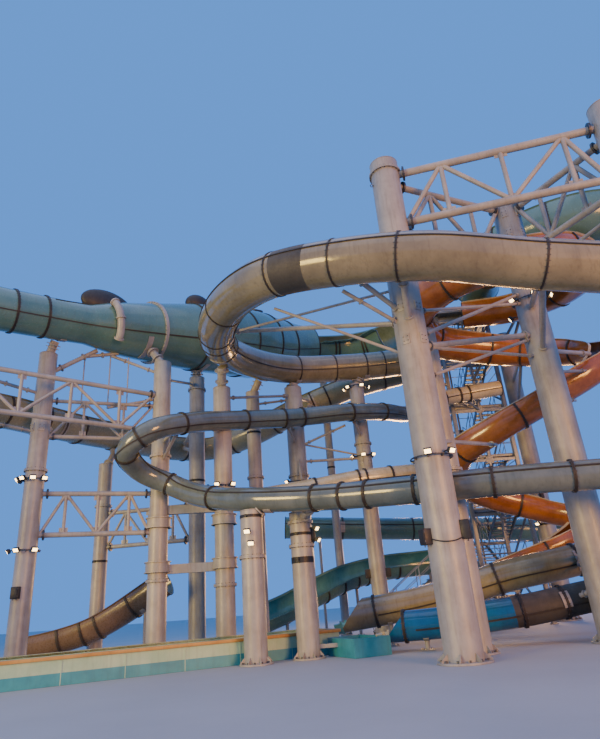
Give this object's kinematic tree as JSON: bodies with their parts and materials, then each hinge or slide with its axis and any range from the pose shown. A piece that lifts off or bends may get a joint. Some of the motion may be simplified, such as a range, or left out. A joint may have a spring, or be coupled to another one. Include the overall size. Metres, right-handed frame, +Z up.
{
  "type": "water slide tower",
  "caption": "Water slide tower: white tube columns and trusses carry closed and open coloured flumes from a stair tower down to run-outs.",
  "frame": {"origin": "centre of the bounding box on the ground", "axes": "+X to the right along the front, +Y away from the viewer into the slide field, +Z up"},
  "size_m": [30.4702, 22.8062, 18.3106],
  "materials": {
    "white_paint": "satin",
    "olive_laminate": "gloss",
    "teal_laminate": "gloss",
    "petrol_laminate": "gloss",
    "copper_laminate": "gloss",
    "cream_laminate": "gloss",
    "blue_laminate": "gloss",
    "tan_laminate": "gloss",
    "pool_coating": "satin",
    "galvanised_steel": "matt"
  },
  "bodies": {
    "root": {"column_main": "white_paint", "column_main_rear": "white_paint", "column_right_inner": "white_paint", "column_right_outer": "white_paint", "column_far_right": "white_paint", "column_outer_right": "white_paint", "column_left_outer": "white_paint", "column_left_front": "white_paint", "column_left_rear": "white_paint", "column_bay_front": "white_paint", "column_bay_rear": "white_paint", "column_mid_left": "white_paint", "column_short_left": "white_paint", "column_short_right": "white_paint", "column_centre_left": "white_paint", "column_centre_back": "white_paint", "column_back": "white_paint", "column_rear_left": "white_paint", "truss_top_front": "white_paint", "truss_top_left": "white_paint", "truss_top_right": "white_paint", "truss_left_front": "white_paint", "truss_left_back": "white_paint", "truss_low_front": "white_paint", "truss_low_rear": "white_paint", "big_flume_back": "olive_laminate", "big_flume_turn": "olive_laminate", "big_flume_front": "olive_laminate", "big_flume_end": "olive_laminate", "raft_tube": "teal_laminate", "raft_cone": "teal_laminate", "raft_elbow": "teal_laminate", "raft_trough": "teal_laminate", "teal_trough": "teal_laminate", "body_flume_upper": "petrol_laminate", "body_flume_curl": "petrol_laminate", "body_flume_lower": "petrol_laminate", "pale_flume": "cream_laminate", "spiral_flume_upper": "copper_laminate", "spiral_flume_middle": "copper_laminate", "spiral_flume_low": "copper_laminate", "spiral_flume_end": "copper_laminate", "middle_flume": "petrol_laminate", "left_trough": "teal_laminate", "low_back_flume": "teal_laminate", "low_open_flume": "teal_laminate", "grey_runout": "olive_laminate", "blue_runout": "blue_laminate", "tan_flume": "tan_laminate", "runout_channel": "pool_coating", "catch_basin": "pool_coating", "tower_left_frame": "galvanised_steel", "tower_right_frame": "galvanised_steel", "tower_front_frame": "galvanised_steel", "tower_rear_frame": "galvanised_steel", "staircase_lower": "galvanised_steel", "staircase_upper": "galvanised_steel", "start_deck": "galvanised_steel", "access_stair": "galvanised_steel"}
  },
  "joints": []
}
